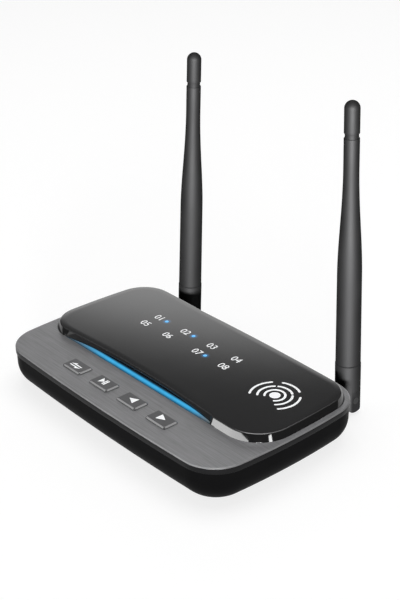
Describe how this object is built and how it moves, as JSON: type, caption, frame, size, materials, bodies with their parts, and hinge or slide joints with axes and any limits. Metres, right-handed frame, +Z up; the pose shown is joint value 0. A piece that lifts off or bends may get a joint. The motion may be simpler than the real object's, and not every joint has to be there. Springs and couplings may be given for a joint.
{
  "type": "bluetooth audio receiver",
  "caption": "Flat desktop wireless audio receiver: bowed housing, brushed deck with press buttons, raised gloss display panel, blue light bar and hinged rear antennas.",
  "frame": {"origin": "middle of the housing's plan, in the plane that the rubber base ring stands on", "axes": "+X along the row of buttons, left to right as the user sees it; +Y from the buttons to the rear sockets; +Z up"},
  "size_m": [0.1196, 0.0827, 0.1132],
  "materials": {
    "shell_black": "satin moulded ABS",
    "deck_grey": "brushed lengthwise, dark grey, bright cut edge",
    "panel_gloss": "piano-black acrylic",
    "light_bar_blue": "diffusing polycarbonate, lit blue",
    "clear_guide": "clear polycarbonate",
    "baffle_black": "matt",
    "ferrite": "flexible ferrite sheet",
    "copper": "enamelled copper winding",
    "base_rubber": "matt",
    "button_grey": "metallised satin",
    "plunger_black": "moulded",
    "switch_black": "moulded, steel cover",
    "board_green": "solder mask",
    "tinned_steel": "tin plated",
    "chip_black": "epoxy",
    "can_aluminium": "plain can",
    "crystal_steel": "nickel plated",
    "led_white": "encapsulant",
    "socket_black": "moulded",
    "shutter_grey": "moulded",
    "screw_steel": "black-nickel plated",
    "lead_jacket": "FEP jacket",
    "plug_brass": "gold flash",
    "antenna_black": "satin moulded",
    "pin_steel": "blackened",
    "radiator_brass": "plain"
  },
  "bodies": {
    "housing": {"antenna_lead_left": "lead_jacket", "antenna_lead_right": "lead_jacket", "audio_chips": "chip_black", "board_screws": "screw_steel", "case_screws": "screw_steel", "coil_ferrite_sheet": "ferrite", "crystal_can": "crystal_steel", "display_panel": "panel_gloss", "filter_capacitors": "can_aluminium", "indicator_leds": "led_white", "indicator_light_guides": "clear_guide", "lead_plugs": "plug_brass", "light_bar": "light_bar_blue", "light_guide_frame": "baffle_black", "line_in_jack": "socket_black", "line_out_jack": "socket_black", "lower_shell": "shell_black", "main_board": "board_green", "near_field_coil": "copper", "optical_input_socket": "socket_black", "optical_output_socket": "socket_black", "power_socket_shell": "tinned_steel", "power_socket_tongue": "socket_black", "radio_module_board": "board_green", "radio_shield_can": "tinned_steel", "rubber_base_ring": "base_rubber", "strip_leds": "led_white", "switch_bodies": "switch_black", "top_deck": "deck_grey"},
    "left_swivel": {"left_antenna_swivel_foot": "antenna_black", "left_antenna_swivel_clip": "pin_steel"},
    "right_swivel": {"right_antenna_swivel_foot": "antenna_black", "right_antenna_swivel_clip": "pin_steel"},
    "left_antenna": {"left_antenna_hinge_pin": "pin_steel", "left_antenna_knuckle": "antenna_black", "left_antenna_sleeve": "antenna_black", "left_antenna_tip_cap": "antenna_black", "left_antenna_radiator": "radiator_brass"},
    "right_antenna": {"right_antenna_hinge_pin": "pin_steel", "right_antenna_knuckle": "antenna_black", "right_antenna_sleeve": "antenna_black", "right_antenna_tip_cap": "antenna_black", "right_antenna_radiator": "radiator_brass"},
    "input_shutter": {"optical_input_shutter": "shutter_grey"},
    "output_shutter": {"optical_output_shutter": "shutter_grey"},
    "mode_button": {"mode_button_cap": "button_grey", "mode_switch_plunger": "plunger_black"},
    "play_button": {"play_button_cap": "button_grey", "play_switch_plunger": "plunger_black"},
    "previous_button": {"previous_button_cap": "button_grey", "previous_switch_plunger": "plunger_black"},
    "next_button": {"next_button_cap": "button_grey", "next_switch_plunger": "plunger_black"}
  },
  "joints": [
    {"name": "left_antenna_swivel", "type": "hinge", "parent": "housing", "child": "left_swivel", "pos_m": [-0.043, 0.0426, 0.0055], "axis": [0, 1, 0], "range_deg": [-93.4, 16.6]},
    {"name": "left_antenna_fold", "type": "hinge", "parent": "left_swivel", "child": "left_antenna", "pos_m": [-0.043, 0.0426, 0.0055], "axis": [-0.9982, 0, 0.0593], "range_deg": [0, 90]},
    {"name": "right_antenna_swivel", "type": "hinge", "parent": "housing", "child": "right_swivel", "pos_m": [0.043, 0.0426, 0.0055], "axis": [0, 1, 0], "range_deg": [-18.4, 91.6]},
    {"name": "right_antenna_fold", "type": "hinge", "parent": "right_swivel", "child": "right_antenna", "pos_m": [0.043, 0.0426, 0.0055], "axis": [-0.9996, 0, -0.0279], "range_deg": [0, 90]},
    {"name": "mode_press", "type": "slide", "parent": "housing", "child": "mode_button", "axis": [0, 0, -1], "range_m": [0, 0.0004], "stiffness_N_per_m": 600, "springref_m": -0.0008},
    {"name": "play_press", "type": "slide", "parent": "housing", "child": "play_button", "axis": [0, 0, -1], "range_m": [0, 0.0004], "stiffness_N_per_m": 600, "springref_m": -0.0008},
    {"name": "previous_press", "type": "slide", "parent": "housing", "child": "previous_button", "axis": [0, 0, -1], "range_m": [0, 0.0004], "stiffness_N_per_m": 600, "springref_m": -0.0008},
    {"name": "next_press", "type": "slide", "parent": "housing", "child": "next_button", "axis": [0, 0, -1], "range_m": [0, 0.0004], "stiffness_N_per_m": 600, "springref_m": -0.0008},
    {"name": "input_shutter_hinge", "type": "hinge", "parent": "housing", "child": "input_shutter", "pos_m": [-0.02, 0.0336, 0.01183], "axis": [-1, 0, 0], "range_deg": [0, 80], "stiffness_Nm_per_rad": 0.0004, "springref_deg": -28.65},
    {"name": "output_shutter_hinge", "type": "hinge", "parent": "housing", "child": "output_shutter", "pos_m": [-0.007, 0.0336, 0.01183], "axis": [-1, 0, 0], "range_deg": [0, 80], "stiffness_Nm_per_rad": 0.0004, "springref_deg": -28.65}
  ]
}
